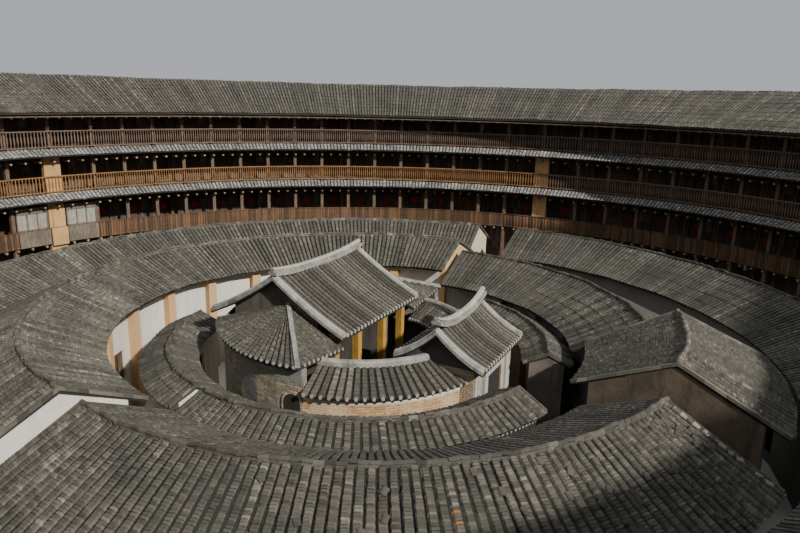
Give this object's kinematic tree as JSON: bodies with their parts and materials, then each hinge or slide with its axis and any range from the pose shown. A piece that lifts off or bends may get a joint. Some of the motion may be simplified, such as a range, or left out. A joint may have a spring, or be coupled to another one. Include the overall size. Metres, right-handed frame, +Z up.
{
  "type": "round earth house with inner rings and a hall, 1:2 scale model",
  "caption": "Round fortified earth house: a tall ring with timber galleries under a tiled roof, lower rings inside it and a small round hall in the middle.",
  "frame": {"origin": "centre of the outer ring, on the level that the walls stand on", "axes": "+Z up, +Y away from the side that the picture is taken from, +X to the right in the picture"},
  "size_m": [33.4, 33.4, 6.925],
  "materials": {
    "rammed_earth": "rough, weathered",
    "foot_stone": "rough",
    "dark_timber": "rough, aged",
    "rail_timber": "matte",
    "roof_tile": "rough, weathered",
    "white_plaster": "matte",
    "ochre_earth": "rough",
    "hall_stone": "rough",
    "cream_wall": "matte"
  },
  "bodies": {
    "root": {"outer_wall_1": "rammed_earth", "outer_wall_2": "rammed_earth", "outer_wall_3": "rammed_earth", "outer_wall_4": "rammed_earth", "stone_plinth": "foot_stone", "floor_2": "dark_timber", "floor_3": "dark_timber", "floor_4": "dark_timber", "room_front_1": "dark_timber", "room_front_2": "dark_timber", "room_front_3": "dark_timber", "room_front_4": "dark_timber", "gallery_posts_1": "dark_timber", "gallery_posts_2": "dark_timber", "gallery_posts_3": "dark_timber", "gallery_posts_4": "dark_timber", "earth_pier_1": "ochre_earth", "earth_pier_2": "ochre_earth", "earth_pier_3": "ochre_earth", "earth_pier_4": "ochre_earth", "parapet_2": "rail_timber", "railing_3": "rail_timber", "railing_4": "rail_timber", "pent_roof_3": "roof_tile", "pent_roof_4": "roof_tile", "main_roof": "roof_tile", "first_ring_left_roof": "roof_tile", "first_ring_left_walls": "white_plaster", "first_ring_right_roof": "roof_tile", "first_ring_right_walls": "white_plaster", "first_ring_near_roof": "roof_tile", "first_ring_near_walls": "white_plaster", "second_ring_left_roof": "roof_tile", "second_ring_left_walls": "white_plaster", "second_ring_right_roof": "roof_tile", "second_ring_right_walls": "white_plaster", "entry_block_roof": "roof_tile", "entry_block_walls": "white_plaster", "second_ring_near_roof": "roof_tile", "second_ring_near_walls": "white_plaster", "corridor_left_roof": "roof_tile", "corridor_left_walls": "white_plaster", "corridor_near_roof": "roof_tile", "corridor_near_walls": "white_plaster", "corridor_right_roof": "roof_tile", "corridor_right_walls": "white_plaster", "main_hall_roof": "roof_tile", "main_hall_walls": "cream_wall", "main_hall_columns": "rail_timber", "gate_hall_roof": "roof_tile", "gate_hall_walls": "cream_wall", "aisle_roof_near": "roof_tile", "aisle_roof_far": "roof_tile", "hall_round_wall": "hall_stone", "wing_roof_near": "roof_tile", "wing_wall_near": "cream_wall", "wing_roof_far": "roof_tile", "wing_wall_far": "cream_wall"}
  },
  "joints": []
}
